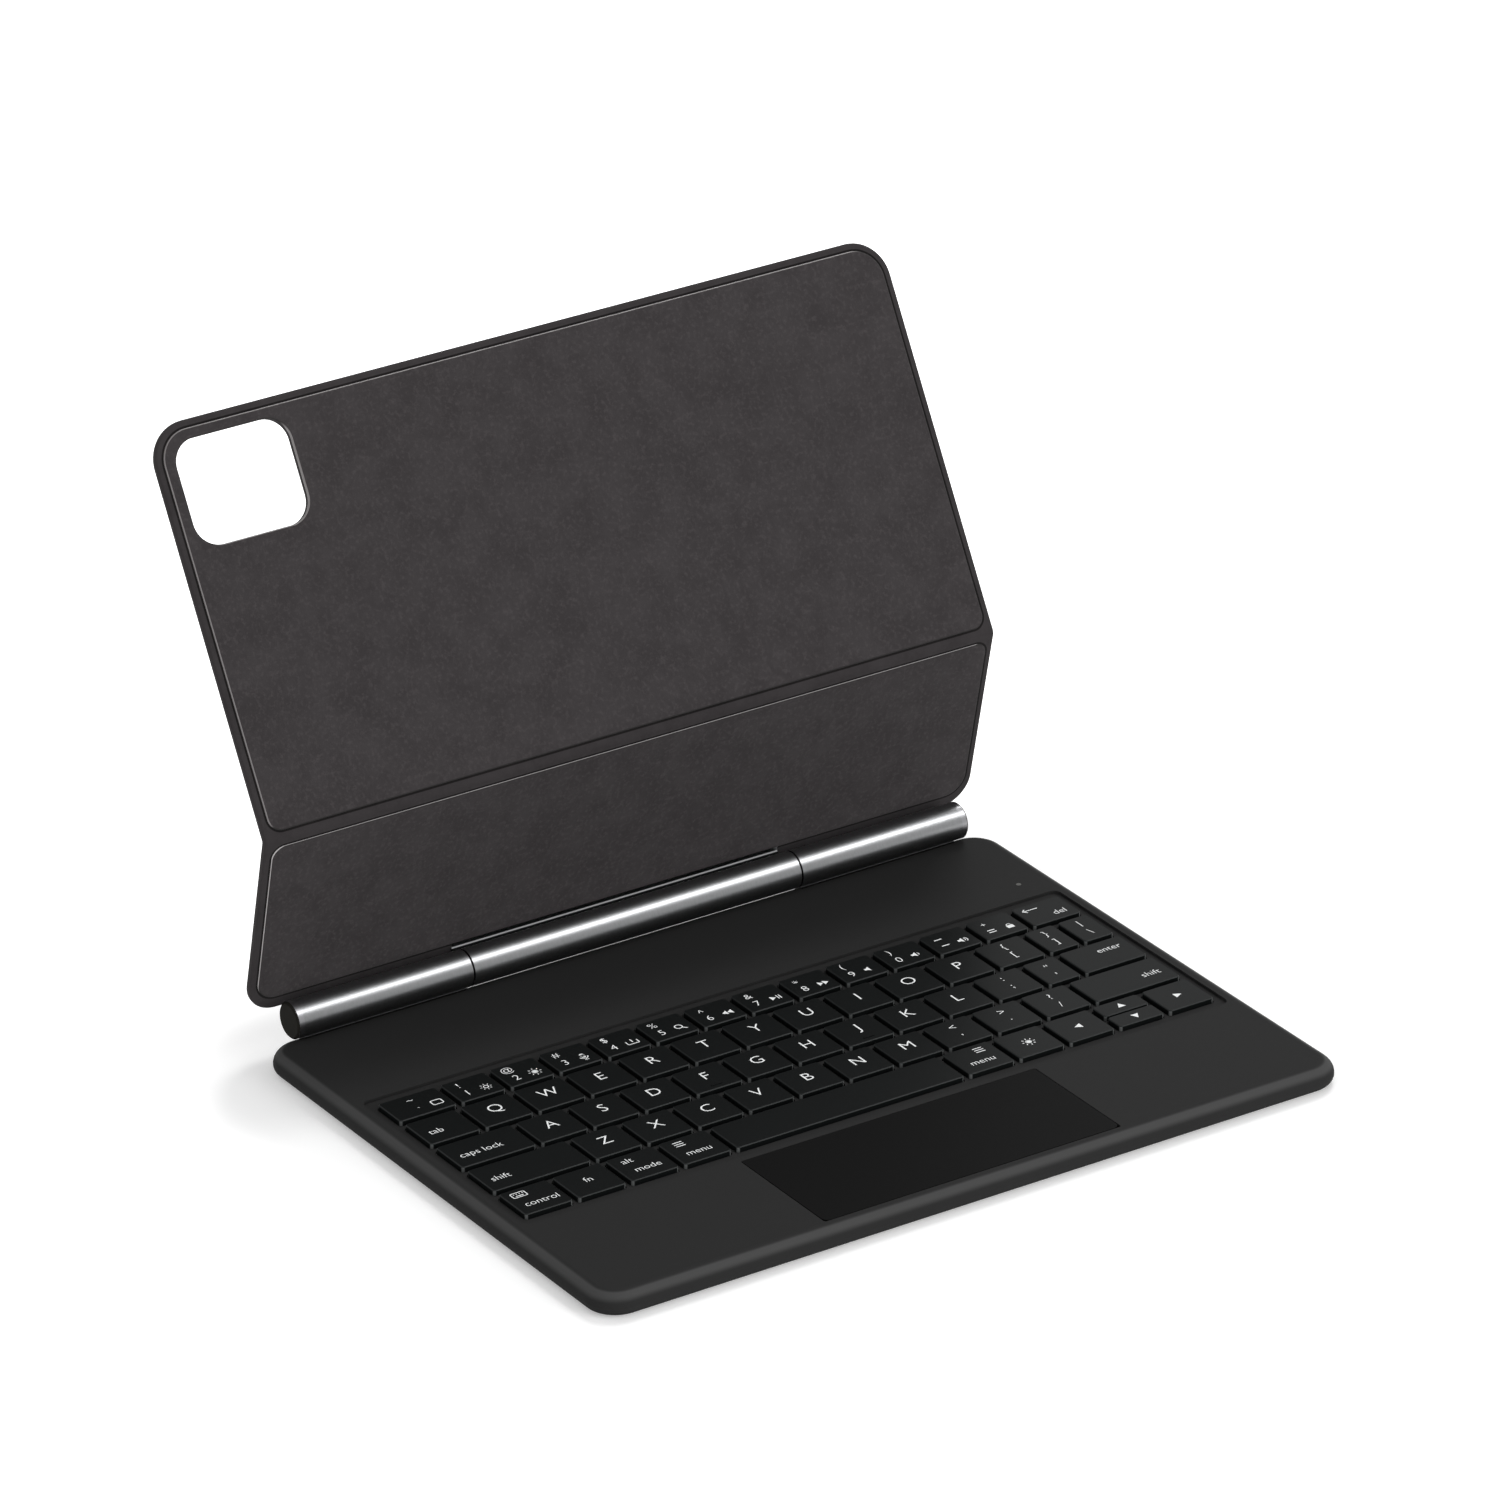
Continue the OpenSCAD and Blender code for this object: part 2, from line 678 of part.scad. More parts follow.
// The turning middle of the tube, with the web and the tab it carries
module centre_barrel() {
    half = seam_x - seam_gap / 2;
    hollow = seam_x - shaft_in - 2;
    color("#4a4a4c") placed() difference() {
        union() {
            on_axis() translate([0, 0, -half]) cylinder(h = 2 * half, r = tube_r, $fn = 96);
            on_leaf() {
                translate([-half, tab_low, -leaf_off]) rotate([90, 0, 90]) linear_extrude(2 * half) {
                    polygon(tab_profile());
                }
            }
        }
        on_axis() {
            translate([0, 0, -half - 1]) cylinder(h = 2 * half + 2, r = shaft_r + shaft_clear);
            translate([0, 0, -hollow]) cylinder(h = 2 * hollow, r = bore_r, $fn = 96);
        }
        on_leaf() for (x = rivet_x) {
            translate([x, rivet_y, -leaf_off - tab_t - 1]) cylinder(h = tab_t + 2, r = rivet_r + fit / 2);
        }
    }
}

module bracket_rivets() {
    color("#9a9c9e") placed() on_leaf() for (x = rivet_x) {
        translate([x, rivet_y, -leaf_off - tab_t - board_t]) cylinder(h = tab_t + board_t, r = rivet_r);
    }
}

// ---- cover ----

// Upper leaf: origin on the fold line, +Y up the leaf, +Z towards the user
module on_upper() {
    translate([0, fold_y, fold_z]) rotate([upper_lean, 0, 0]) children();
}

// Lower leaf: origin on the fold line, +Y down the leaf, +Z towards the user
module on_lower() {
    translate([0, fold_y, fold_z]) rotate([lower_lean + 180, 0, 0]) mirror([0, 0, 1]) children();
}

// Outline of a leaf from the fold at y = 0, inset at its other three edges
module leaf_2d(l, r, m) {
    w = cover_w / 2 - m;
    c = r - m;
    translate([-w, 0]) square([2 * w, l - m - c]);
    translate([-w + c, 0]) square([2 * w - 2 * c, l - m]);
    for (x = [-w + c, w - c]) translate([x, l - m - c]) circle(r = c, $fn = 96);
}

// A layer of a leaf from z = -top down by t, bevelled at the fold
module layer(l, r, m, top, t) {
    difference() {
        translate([0, 0, -top - t]) linear_extrude(t) leaf_2d(l, r, m);
        translate([-cover_w, fold_gap, 0]) rotate([fold_bevel, 0, 0]) {
            translate([0, -upper_r, -upper_r]) cube([2 * cover_w, upper_r, 2 * upper_r]);
        }
    }
}

// Raised pad with its own corner radii at the far end and at the fold
module pad(l, far_in, far_r, near_r) {
    w = cover_w / 2 - pad_in;
    y0 = pad_in;
    y1 = l - far_in;
    linear_extrude(pad_t) {
        translate([-w + near_r, y0]) square([2 * w - 2 * near_r, y1 - y0 - far_r]);
        translate([-w, y0 + near_r]) square([2 * w, y1 - y0 - far_r - near_r]);
        translate([-w + far_r, y0 + near_r]) square([2 * w - 2 * far_r, y1 - y0 - near_r]);
        for (s = [-1, 1]) {
            translate([s * (w - near_r), y0 + near_r]) circle(r = near_r);
            translate([s * (w - far_r), y1 - far_r]) circle(r = far_r, $fn = 96);
        }
    }
}

module camera_hole(m) {
    b = grown([cut_x, cut_y, cut_x + cut_w, cut_y + cut_h], m);
    pocket(b, cut_r + m, -leaf_t - 1, leaf_t + pad_t + 2);
}

module skin(l, r) {
    layer(l, r, 0, lining_t + board_t, skin_t);
    difference() {
        layer(l, r, 0, lining_t, board_t);
        translate([0, 0, -leaf_t]) linear_extrude(leaf_t) translate([0, -5]) leaf_2d(l + 5, r, skin_rim);
    }
}

module upper_board() {
    color("#8d9092") placed() on_upper() difference() {
        layer(upper_l, upper_r, skin_rim + fit, lining_t, board_t);
        camera_hole(skin_rim + fit);
    }
}

module upper_back_skin() {
    color("#343232") placed() on_upper() difference() {
        union() {
            skin(upper_l, upper_r);
            translate([0, 0, -lining_t - board_t]) linear_extrude(board_t) {
                box_2d(grown([cut_x, cut_y, cut_x + cut_w, cut_y + cut_h], skin_rim), cut_r + skin_rim);
            }
        }
        camera_hole(0);
    }
}

module magnet_cells(m, d) {
    for (x = magnet_x, y = magnet_y) {
        translate([x, y, -lining_t - d]) cylinder(h = magnet_t + m + d, r = magnet_r + m);
    }
}

module upper_lining() {
    color("#3e3b3b") placed() on_upper() difference() {
        union() {
            layer(upper_l, upper_r, 0, 0, lining_t);
            pad(upper_l, pad_in, upper_r - pad_in, pad_fold_r);
        }
        camera_hole(0);
        magnet_cells(fit, 1);
    }
}

// Discs that hold the tablet, in cells behind the pad
module holding_magnets() {
    color("#b8babc") placed() on_upper() magnet_cells(0, 0);
}

module lower_board() {
    color("#8d9092") placed() difference() {
        on_lower() layer(lower_l, lower_r, skin_rim + fit, lining_t, board_t);
        on_leaf() for (x = rivet_x) {
            translate([x, rivet_y, -leaf_off - leaf_t]) cylinder(h = leaf_t, r = rivet_r + fit / 2);
        }
    }
}

module lower_back_skin() {
    color("#343232") placed() on_lower() skin(lower_l, lower_r);
}

module lower_lining() {
    half = seam_x - seam_gap / 2;
    color("#3e3b3b") placed() difference() {
        on_lower() {
            layer(lower_l, lower_r, 0, 0, lining_t);
            pad(lower_l, pad_low, pad_low_r, pad_fold_r);
        }
        on_leaf() translate([-half - fit, tab_low - fit, -leaf_off - tab_t - 1]) {
            cube([2 * half + 2 * fit, tab_l + 2 * fit, tab_t + tab_proud + fit + 1]);
        }
    }
}

// ---- keys ----

// Solid with rounded plan corners and a chamfer round its top
module chamfered(w, d, h, r, c) {
    linear_extrude(h - c) box_2d([0, 0, w, d], r);
    translate([0, 0, h - c]) {
        for (x = [r, w - r], y = [r, d - r]) {
            translate([x, y, 0]) cylinder(h = c, r1 = r, r2 = r - c, $fn = 48);
        }
        translate([0, r, 0]) mirror([0, 1, 0]) rotate([90, 0, 0]) linear_extrude(d - 2 * r) {
            polygon([[0, 0], [w, 0], [w - c, c], [c, c]]);
        }
        translate([r, 0, 0]) rotate([90, 0, 90]) linear_extrude(w - 2 * r) {
            polygon([[0, 0], [d, 0], [d - c, c], [c, c]]);
        }
    }
}

// One key: a shell with a skirt, and a post that meets the dome
module cap(k) {
    w = k[3];
    d = k[4];
    translate([k[1], k[2], key_z]) {
        difference() {
            chamfered(w, d, key_h, key_r, key_chamfer);
            translate([0, 0, -1]) linear_extrude(key_h - key_wall + 1) {
                translate([key_wall, key_wall]) square([w - 2 * key_wall, d - 2 * key_wall]);
            }
        }
        translate([w / 2, d / 2, 0]) cylinder(h = key_h - key_wall + eps, r = 1.4);
        if (k[0] == "f" || k[0] == "j") {
            translate([w / 2 - homing_l / 2, 1.9, key_h - eps]) cube([homing_l, 0.5, 0.2 + eps]);
        }
    }
}

module caps_of(names) {
    color("#141616") placed() for (k = keys) if (member(k[0], names)) cap(k);
}

deck_shell();
bottom_cover();
key_plate();
dome_sheet();
circuit_board();
battery_cell();
led_lens();
left_barrel();
right_barrel();
end_caps();
friction_sleeves();
case_screws();
trackpad_switch();
trackpad_flexure();
trackpad_plate();
centre_barrel();
hinge_shafts();
lower_board();
lower_back_skin();
lower_lining();
bracket_rivets();
upper_board();
upper_back_skin();
upper_lining();
holding_magnets();
for (k = single_keys) caps_of([k]);
caps_of(digit_keys);  // keys_digits
caps_of(mark_keys);  // keys_marks
caps_of(modifier_keys);  // keys_modifiers
caps_of(arrow_keys);  // keys_arrows
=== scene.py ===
import math
import bpy
import bmesh
from mathutils import Matrix, Vector


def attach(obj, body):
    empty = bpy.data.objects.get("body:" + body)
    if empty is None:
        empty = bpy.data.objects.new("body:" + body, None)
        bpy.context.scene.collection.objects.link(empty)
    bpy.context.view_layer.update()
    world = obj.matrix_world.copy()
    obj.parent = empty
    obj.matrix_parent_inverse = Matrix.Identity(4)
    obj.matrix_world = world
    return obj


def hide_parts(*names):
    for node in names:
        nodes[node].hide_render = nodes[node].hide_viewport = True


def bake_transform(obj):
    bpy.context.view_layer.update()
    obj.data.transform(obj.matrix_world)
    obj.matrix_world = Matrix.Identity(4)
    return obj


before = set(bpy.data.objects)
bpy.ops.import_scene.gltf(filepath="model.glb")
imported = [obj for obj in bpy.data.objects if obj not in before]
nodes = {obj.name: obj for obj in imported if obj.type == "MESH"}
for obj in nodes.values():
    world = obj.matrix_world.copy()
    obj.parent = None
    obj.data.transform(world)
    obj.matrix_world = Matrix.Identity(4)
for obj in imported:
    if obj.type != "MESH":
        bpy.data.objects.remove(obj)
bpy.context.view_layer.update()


# an expression on sockets adds its own nodes
class Signal:
    def __init__(self, finish, socket):
        self.finish = finish
        self.socket = socket

    def math(self, kind, first, second):
        return self.finish.add("ShaderNodeMath", {"operation": kind}, {0: first, 1: second})

    def __add__(self, other): return self.math("ADD", self, other)
    def __radd__(self, other): return self.math("ADD", other, self)
    def __sub__(self, other): return self.math("SUBTRACT", self, other)
    def __rsub__(self, other): return self.math("SUBTRACT", other, self)
    def __mul__(self, other): return self.math("MULTIPLY", self, other)
    def __rmul__(self, other): return self.math("MULTIPLY", other, self)
    def __pow__(self, other): return self.math("POWER", self, other)
    def __rpow__(self, other): return self.math("POWER", other, self)
    def __abs__(self): return self.math("ABSOLUTE", self, 0.0)

    def larger(self, other): return self.math("MAXIMUM", self, other)

    def ramp(self, low, high):  # 0 at low, 1 at high, smooth between
        return self.finish.add(
            "ShaderNodeMapRange",
            {"interpolation_type": "SMOOTHSTEP"},
            {"Value": self, "From Min": low, "From Max": high, "To Min": 0.0, "To Max": 1.0},
            out="Result",
        )


class Finish:
    def __init__(self, name, **base):
        self.material = bpy.data.materials.new(name)
        self.material.use_nodes = True
        self.tree = self.material.node_tree
        self.shader = self.tree.nodes["Principled BSDF"]
        for key, value in base.items():
            self.put(key, value)

    def put(self, socketName, value):  # a constant on the socket, or a signal into it
        self.fill(self.shader.inputs[socketName.replace("_", " ")], value)
        return self

    def fill(self, socket, value):
        if isinstance(value, Signal):
            self.tree.links.new(value.socket, socket)
        elif isinstance(value, (tuple, list)) and socket.type == "RGBA" and len(value) == 3:
            socket.default_value = (*value, 1.0)
        else:
            socket.default_value = value

    def add(self, kind, settings=None, sockets=None, out=0):  # out=None gives the node itself
        node = self.tree.nodes.new(kind)
        for key, value in (settings or {}).items():
            setattr(node, key, value)
        for key, value in (sockets or {}).items():
            self.fill(node.inputs[key], value)
        return node if out is None else Signal(self, node.outputs[out])

    def place(self, out="Object"):
        return self.add("ShaderNodeTexCoord", out=out)

    def split(self, vector):
        node = self.add("ShaderNodeSeparateXYZ", None, {0: vector}, out=None)
        return [Signal(self, socket) for socket in node.outputs]

    def noise(self, scale, detail=3.0, rough=0.6, stretch=None):
        at = self.place()
        if stretch:
            times = {"operation": "MULTIPLY"}
            at = self.add("ShaderNodeVectorMath", times, {0: at, 1: stretch}, out="Vector")
        return self.add(
            "ShaderNodeTexNoise",
            {"noise_dimensions": "3D"},
            {"Vector": at, "Scale": scale, "Detail": detail, "Roughness": rough},
            out="Fac",
        )

    def mix(self, mask, low, high):  # colours only: inputs 6 and 7 and output 2 are the colour ones
        sockets = {0: mask, 6: low, 7: high}
        return self.add("ShaderNodeMix", {"data_type": "RGBA"}, sockets, out=2)

    def relief(self, height, strength, distance):
        sockets = {"Height": height, "Strength": strength, "Distance": distance}
        return self.put("Normal", self.add("ShaderNodeBump", None, sockets, out="Normal"))


def tone(hexText):  # "#2f2f2f" as the renderer's linear colour
    parts = [int(hexText[i:i + 2], 16) / 255 for i in (1, 3, 5)]
    return tuple(p / 12.92 if p <= 0.04045 else ((p + 0.055) / 1.055) ** 2.4 for p in parts)


# moulded shells and sheets: a slow cloud in the colour and a fine grain
mouldedBase = {"gloss": 0.02, "cloud": 12.0, "grain": 900.0, "depth": 0.12, "sway": 0.1}
# the roll colours of deck and tray are a painted highlight along their rolled outer edges
deckLook = {"dark": "#2a2a2a", "light": "#2d2d2d", "rollHighlight": "#464646", "rough": 0.6}
trayLook = {"dark": "#2c2c2c", "light": "#2f2f2f", "rollHighlight": "#383838", "rough": 0.62}
trackpadLook = {"dark": "#0f0f0f", "light": "#111111", "rough": 0.5, "grain": 1600.0, "depth": 0.03}
boardLook = {"dark": "#14502f", "light": "#1c6b40", "rough": 0.5}
siliconeLook = {"dark": "#c9c9c4", "light": "#dadad6", "rough": 0.6}
lensLook = {"dark": "#5d5d5b", "light": "#6a6a68", "rough": 0.4, "depth": 0.02}
inkLook = {"dark": "#f0f2f2", "light": "#f8fafa", "rough": 0.6, "depth": 0.02}
skinLook = {
    "dark": "#2b2a2a", "light": "#302f2f", "rough": 0.7, "gloss": 0.1, "grain": 2200.0,
    "depth": 0.3,
}
rollHighlightMask = {  # where a shell's rolled outer edges get a painted highlight, by how far they face up and by where they are
    "upFrom": (0.35, 0.75), "upTo": (0.9, 0.99), "hingeSide": (0.072, 0.076),
    "ends": (0.112, 0.117),
}
grainHeight = 0.00003  # of moulded parts and keys


def moulded(name, look):
    look = {**mouldedBase, **look}
    f = Finish(name, Specular_IOR_Level=look["gloss"])
    fine = f.noise(look["grain"], 2.0)
    ground = f.mix(f.noise(look["cloud"]), tone(look["dark"]), tone(look["light"]))
    if "rollHighlight" in look:  # painted highlight: rolled outer edges are coloured paler than the flats, as if catching light; the one at the hinge isn't
        nz = f.split(f.place("Normal"))[2]
        px, py = f.split(f.place())[:2]
        ends = abs(px).ramp(*rollHighlightMask["ends"])
        outer = 1.0 - py.ramp(*rollHighlightMask["hingeSide"]) * (1.0 - ends)
        rolled = nz.ramp(*rollHighlightMask["upFrom"]) * (1.0 - nz.ramp(*rollHighlightMask["upTo"]))
        ground = f.mix(rolled * outer, ground, tone(look["rollHighlight"]))
    f.put("Base Color", ground)
    f.put("Roughness", look["rough"] - look["sway"] / 2 + fine * look["sway"])
    return f.relief(fine, look["depth"], grainHeight)


# key caps: upright corners and top rims carry a painted highlight, a paler colour in place of the
# light they catch
keyLook = {
    "dark": "#0e1010", "light": "#111313", "cornerHighlight": "#5e6060", "rim": "#2c2e2e", "rough": 0.36,
    "gloss": 0.05, "cloud": 30.0, "grain": 1400.0, "depth": 0.04, "sway": 0.08,
    "upright": (0.2, 0.5), "corner": (0.12, 0.45), "rimFrom": (0.3, 0.6), "rimTo": (0.8, 0.95),
}


def keyCap(name, look):
    f = Finish(name, Specular_IOR_Level=look["gloss"])
    fine = f.noise(look["grain"], 2.0)
    nx, ny, nz = f.split(f.place("Normal"))
    upright = 1.0 - abs(nz).ramp(*look["upright"])
    turning = (abs(nx) * abs(ny)).ramp(*look["corner"])
    sloped = abs(nz).ramp(*look["rimFrom"]) * (1.0 - abs(nz).ramp(*look["rimTo"]))
    ground = f.mix(f.noise(look["cloud"]), tone(look["dark"]), tone(look["light"]))
    # painted highlight: paler sloped rims on the tops and paler upright corners
    rimHighlighted = f.mix(sloped, ground, tone(look["rim"]))
    f.put("Base Color", f.mix(upright * turning, rimHighlighted, tone(look["cornerHighlight"])))
    f.put("Roughness", look["rough"] - look["sway"] / 2 + fine * look["sway"])
    return f.relief(fine, look["depth"], grainHeight)


# metals: streaks along the part
metalBase = {"along": (1, 60, 60), "scale": 90.0, "sway": 0.1}
steelLook = {"dark": "#8f9194", "light": "#a9abad", "rough": 0.35}
bronzeLook = {"dark": "#9b7b3f", "light": "#b08f52", "rough": 0.4}
sheetLook = {"dark": "#7b7d80", "light": "#8e9092", "rough": 0.5, "along": (40, 1, 40)}
cellLook = {"dark": "#83878b", "light": "#9da1a4", "rough": 0.45, "along": (20, 20, 20)}
tubeLook = {  # the cut ends at the seams and the web behind the tube are painted shade, near black as the shadow in those gaps
    "dark": "#7c7e7e", "light": "#8e8e90", "end": "#0c0c0c", "rough": 0.32,
    "along": (3, 1, 1), "scale": 700.0, "sway": 0.08, "endFacing": (0.6, 0.9),
    "axis": (0.0919, 0.0126), "webFrom": (0.00575, 0.0059), "webTo": (0.00805, 0.0082),
}


def brushed(name, look):
    look = {**metalBase, **look}
    f = Finish(name, Metallic=1.0)
    streak = f.noise(look["scale"], stretch=look["along"])
    ground = f.mix(streak, tone(look["dark"]), tone(look["light"]))
    # painted shade: the cut ends and the web behind the tube turn near black
    if "end" in look:
        nx = f.split(f.place("Normal"))[0]
        py, pz = f.split(f.place())[1:]
        back, high = py - look["axis"][0], pz - look["axis"][1]
        reach = (back * back + high * high) ** 0.5  # distance from the tube's axis
        webShade = reach.ramp(*look["webFrom"]) * (1.0 - reach.ramp(*look["webTo"]))
        cut = abs(nx).ramp(*look["endFacing"])
        ground = f.mix(cut.larger(webShade), ground, tone(look["end"]))
    f.put("Base Color", ground)
    f.put("Roughness", look["rough"] - look["sway"] / 2 + streak * look["sway"])
    return f


# the tube's end plugs: a dark disc whose rim matches the tube
plugLook = {"dark": "#201f1c", "rough": 0.6, "gloss": 0.02, "discFacing": (0.3, 0.6)}


def capped(name, look, sleeve):
    f = Finish(name, Specular_IOR_Level=look["gloss"])
    rim = 1.0 - abs(f.split(f.place("Normal"))[0]).ramp(*look["discFacing"])
    f.put("Base Color", f.mix(rim, tone(look["dark"]), tone(sleeve["light"])))
    f.put("Metallic", rim)
    f.put("Roughness", rim * (sleeve["rough"] - look["rough"]) + look["rough"])
    return f


# cover fabric: tufts of nap that catch light, over a slow cloud
nap = {
    "gloss": 0.06, "sheen": 0.06, "sheenRough": 0.5, "cloud": 90.0, "cloudSpread": (0.3, 0.7),
    "weave": 2600.0, "tuftShare": 0.3, "tuftSpread": (0.45, 0.75), "tuftShows": 0.6,
    "smoother": 0.08, "sway": 0.12, "height": 0.00012, "depth": 0.5,
}
liningLook = {"dark": "#353233", "light": "#3c393a", "fleck": "#484445", "rough": 0.9}
wrapLook = {"dark": "#322f30", "light": "#383536", "rough": 0.85}
# a dark sheet laid round each pad as painted shade at the pad's foot
shadeBandLook = {"dark": "#161515", "light": "#1c1a1a", "rough": 0.95, "depth": 0.2}


def napped(name, look):
    look = {**nap, "fleck": look["light"], **look}
    f = Finish(name, Specular_IOR_Level=look["gloss"], Sheen_Weight=look["sheen"],
               Sheen_Roughness=look["sheenRough"])
    cloud = f.noise(look["cloud"], 4.0, 0.7).ramp(*look["cloudSpread"])
    weave = f.noise(look["weave"], 3.0, 0.7)
    tuft = f.noise(look["weave"] * look["tuftShare"], 3.0, 0.65)
    ground = f.mix(cloud, tone(look["dark"]), tone(look["light"]))
    shows = tuft.ramp(*look["tuftSpread"]) * look["tuftShows"]
    f.put("Base Color", f.mix(shows, ground, tone(look["fleck"])))
    f.put("Roughness", look["rough"] - look["smoother"] + weave * look["sway"])
    return f.relief(weave * 0.5 + tuft * 0.5, look["depth"], look["height"])


# the roll round a pad: a painted highlight where it faces up or left, smoother there; painted shade
# and matt elsewhere
edgeLook = {
    "upper": "#767272", "lower": "#bcb8b8", "shadedSide": "#252323", "litRough": 0.4,
    "shadedSideRough": 0.95, "gloss": 0.5, "towards": (-0.8, 0.08, 0.6), "turn": (0.24, 0.54),
    "grain": 2600.0, "depth": 0.15, "height": 0.00005,
}


def paintedLightEdge(leaf, look):
    f = Finish(leaf + "PressedEdge", Specular_IOR_Level=look["gloss"])
    nx, ny, nz = f.split(f.place("Normal"))
    tx, ty, tz = look["towards"]
    lit = (nz * tz + ny * ty + nx * tx).ramp(*look["turn"])
    f.put("Base Color", f.mix(lit, tone(look["shadedSide"]), tone(look[leaf])))
    f.put("Roughness", lit * (look["litRough"] - look["shadedSideRough"]) + look["shadedSideRough"])
    return f.relief(f.noise(look["grain"], 2.0), look["depth"], look["height"])


keyFinish = keyCap("glossKey", keyLook)
inkFinish = moulded("legendInk", inkLook)
skinFinish = moulded("outerSkin", skinLook)
liningFinish = napped("microfibreLining", liningLook)
wrapFinish = napped("wrapRim", wrapLook)
shadeBandFinish = napped("pressedChannel", shadeBandLook)
edgeFinish = {leaf: paintedLightEdge(leaf, edgeLook) for leaf in ("upper", "lower")}

solidFinishes = [  # any other solid is a key cap, or is replaced by the wrap
    (moulded("satinDeck", deckLook), "deck_shell"),
    (moulded("satinTray", trayLook), "bottom_cover"),
    (moulded("smoothTrackpad", trackpadLook), "trackpad_plate"),
    (moulded("solderMask", boardLook), "circuit_board"),
    (moulded("siliconeSheet", siliconeLook), "dome_sheet"),
    (moulded("lightPipe", lensLook), "led_lens"),
    (capped("tubePlug", plugLook, tubeLook), "end_caps"),
    (brushed("polishedTube", tubeLook), "left_barrel right_barrel centre_barrel"),
    (brushed("sleeveBronze", bronzeLook), "friction_sleeves"),
    (brushed("stiffSheet", sheetLook), "lower_board upper_board"),
    (brushed("foilCell", cellLook), "battery_cell"),
    (brushed("groundSteel", steelLook), "key_plate case_screws trackpad_switch trackpad_flexure"
                                        " hinge_shafts bracket_rivets holding_magnets"),
]
finishOf = {name: finish for finish, names in solidFinishes for name in names.split()}


def dress(obj, finish):
    if not obj.material_slots:
        obj.data.materials.append(None)
    for place in obj.material_slots:
        place.link = "OBJECT"
        place.material = finish.material


for name, obj in nodes.items():
    dress(obj, finishOf.get(name, keyFinish))
print("finishes: done")


def addPiece(name, mesh, finish, body=None, sharp=35):
    obj = bpy.data.objects.new(name, mesh)
    bpy.context.scene.collection.objects.link(obj)
    mesh.materials.clear()
    mesh.materials.append(finish.material)
    for face in mesh.polygons:
        face.use_smooth = True
    mesh.set_sharp_from_angle(angle=math.radians(sharp))
    if body:
        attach(obj, body)
    return obj


def meshFromCurve(curve):  # the curve itself goes
    holder = bpy.data.objects.new(curve.name + "Curve", curve)
    bpy.context.scene.collection.objects.link(holder)
    bpy.context.view_layer.update()
    filled = holder.evaluated_get(bpy.context.evaluated_depsgraph_get())
    mesh = bpy.data.meshes.new_from_object(filled)
    bpy.data.objects.remove(holder)
    bpy.data.curves.remove(curve)
    return mesh


# the keys' places, in millimetres from the base's front edge and its centre line
keyboard = {
    "front": 54.3, "field": 233.0, "gap": 1.9, "rowGap": 2.2, "depth": 14.65, "digitDepth": 12.6,
    "baseDepth": 186.0, "top": 7.7, "inkRise": 0.02,
}
keyRows = [  # names and widths from the front row back; a missing width shares what is left
    ("mod_1 mod_2 mod_3 mod_4 space mod_5 light left up_down right", [15.55] * 4 + [76.7]),
    ("shift z x c v b n m comma stop slash shift_right", [31.98] + [15.09] * 10),
    ("caps a s d f g h j k l colon quote enter", [24.36] + [15.36] * 10 + [10.97]),
    ("tab q w e r t y u i o p open close slash_back", [16.36] + [15.61] * 11),
    ("tick 1 2 3 4 5 6 7 8 9 0 minus equals delete", [18.7] + [14.42] * 12),
]
sharedCaps = {  # keys that ride together on one body
    "digits_caps": "tick 1 2 3 4 5 6 7 8 9 0 minus equals",
    "marks_caps": "open close slash_back colon quote comma stop slash",
    "modifiers_caps": "shift shift_right mod_1 mod_2 mod_3 mod_4 mod_5 light",
    "arrows_caps": "left down up right",
}


def keyCells():  # each key's left edge, front edge, width and depth
    cells = {}
    k = keyboard
    y = k["front"]
    for i, (names, widths) in enumerate(keyRows):
        names = names.split()
        depth = k["digitDepth"] if i == len(keyRows) - 1 else k["depth"]
        spare = len(names) - len(widths)
        rest = (k["field"] - sum(widths) - (len(names) - 1) * k["gap"]) / spare
        x = -k["field"] / 2
        for name, w in zip(names, widths + [rest] * spare):
            cells[name] = (x, y, w, depth)
            x += w + k["gap"]
        y += depth + k["rowGap"]
    x, y, w, depth = cells.pop("up_down")
    low = (depth - k["gap"] / 2) / 2
    cells["down"] = (x, y, w, low)
    cells["up"] = (x, y + low + k["gap"] / 2, w, low)
    return cells


def bodyOf(key):
    for body, names in sharedCaps.items():
        if key in names.split():
            return body
    return "key_" + key + "_cap"


# legends: letter heights in millimetres; a drawn mark's own numbers are in icon sizes
legend = {
    "letter": 4.1, "digit": 2.9, "sign": 2.7, "plus": 2.16, "pair": 2.9, "tick": 2.6, "word": 2.5,
    "icon": 1.4, "thinner": 0.008,
}
pen = {"fine": 0.2, "thin": 0.22, "line": 0.25, "bold": 0.3}  # stroke widths


def textMesh(text):
    curve = bpy.data.curves.new("legend", "FONT")
    curve.body = text
    curve.resolution_u = 3
    curve.offset = -legend["thinner"]
    return meshFromCurve(curve)


sample = textMesh("H")
capHeight = max(v.co.y for v in sample.vertices) - min(v.co.y for v in sample.vertices)
bpy.data.meshes.remove(sample)


